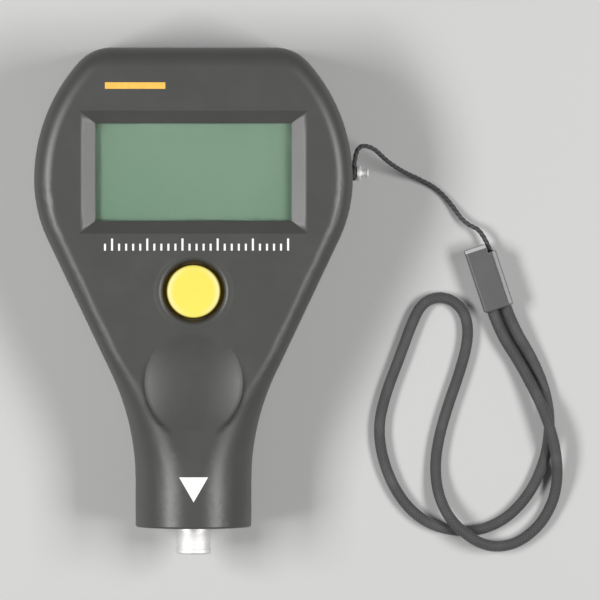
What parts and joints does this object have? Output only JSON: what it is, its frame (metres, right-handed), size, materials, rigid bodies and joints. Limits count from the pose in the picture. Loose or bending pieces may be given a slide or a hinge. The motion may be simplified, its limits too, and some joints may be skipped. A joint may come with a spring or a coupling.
{
  "type": "gloss meter",
  "caption": "Racket-shaped handheld meter with a bevelled display window, a round measure button, a probe socket in the handle's end and a wrist strap.",
  "frame": {"origin": "on the rear face, under the middle of the meter's length and width", "axes": "+X to the right of the reader, +Y from the handle to the display end, +Z out of the front face"},
  "size_m": [0.1327, 0.1268, 0.03],
  "materials": {
    "casing": "fine moulded texture, dark grey",
    "window": "clear, smooth",
    "display_glass": "grey-green, satin",
    "inner_plastic": "moulded, black",
    "strip_rubber": "satin",
    "board": "solder-resist green",
    "chip_plastic": "moulded, black",
    "steel": "bright",
    "button": "satin yellow",
    "cell_jacket": "printed sleeve, plain",
    "lead_sleeve": "smooth sleeve",
    "plated_metal": "nickel plated",
    "contact_metal": "gilt",
    "plug_plastic": "natural white",
    "strap_braid": "round braid, dark grey",
    "slider_plastic": "moulded, dark grey"
  },
  "bodies": {
    "housing": {"front_cover": "casing", "rear_cover": "casing", "display_window": "window", "lcd_panel": "display_glass", "lcd_frame": "inner_plastic", "switch_body": "inner_plastic", "socket_insert": "inner_plastic", "lcd_strip_upper": "strip_rubber", "lcd_strip_lower": "strip_rubber", "circuit_board": "board", "processor_chip": "chip_plastic", "amplifier_chip": "chip_plastic", "board_capacitors": "chip_plastic", "timing_crystal": "steel", "switch_dome": "steel", "contact_springs": "steel", "contact_plates": "steel", "housing_screws": "steel", "board_screws": "steel", "battery_cell_1": "cell_jacket", "battery_cell_2": "cell_jacket", "battery_cell_3": "cell_jacket", "battery_cell_4": "cell_jacket", "battery_leads": "lead_sleeve", "socket_cable": "lead_sleeve", "socket_shell": "plated_metal", "socket_washer": "plated_metal", "socket_nut": "plated_metal", "strap_post": "plated_metal", "socket_contacts": "contact_metal", "cable_plug": "plug_plastic", "strap_hitch": "strap_braid", "strap_string": "strap_braid", "strap_cord": "strap_braid", "strap_slider": "slider_plastic"},
    "button": {"measure_button": "button", "switch_plunger": "inner_plastic"},
    "battery_door": {"battery_door": "casing"}
  },
  "joints": [
    {"name": "button_press", "type": "slide", "parent": "housing", "child": "button", "axis": [0, 0, -1], "range_m": [0, 0.0008], "stiffness_N_per_m": 2000, "springref_m": -0.0002},
    {"name": "door_slide", "type": "slide", "parent": "housing", "child": "battery_door", "axis": [0, 1, 0], "range_m": [0, 0.062]}
  ]
}
